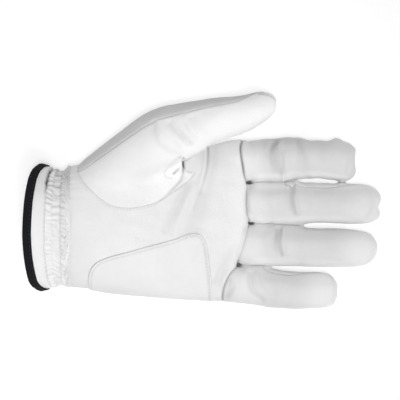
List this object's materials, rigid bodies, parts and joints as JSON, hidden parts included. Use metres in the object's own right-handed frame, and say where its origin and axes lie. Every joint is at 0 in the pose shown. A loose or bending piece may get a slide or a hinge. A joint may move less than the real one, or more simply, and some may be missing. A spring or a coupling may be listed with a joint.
{
  "type": "left-hand leather sport glove",
  "caption": "Thin leather sport glove for the left hand, with a curved thumb panel, a lapped heel patch, a gathered elastic wrist and a black bound edge.",
  "frame": {"origin": "middle of the footprint, on the surface that the back of the glove lies on", "axes": "+X along the fingers, +Y towards the thumb, +Z out of the palm"},
  "size_m": [0.2196, 0.1336, 0.0507],
  "materials": {
    "leather": "soft white dress leather, fine grain, low sheen",
    "side_textile": "pale grey fine woven textile, matt",
    "binding_tape": "black satin-faced woven tape"
  },
  "bodies": {
    "root": {"hand_shell": "leather", "index_finger": "leather", "middle_finger": "leather", "ring_finger": "leather", "little_finger": "leather", "fourchette_index_middle": "leather", "fourchette_middle_ring": "leather", "fourchette_ring_little": "leather", "thumb_front": "leather", "thumb_side": "side_textile", "heel_patch": "leather", "gathered_cuff": "leather", "cuff_binding": "binding_tape"}
  },
  "joints": []
}
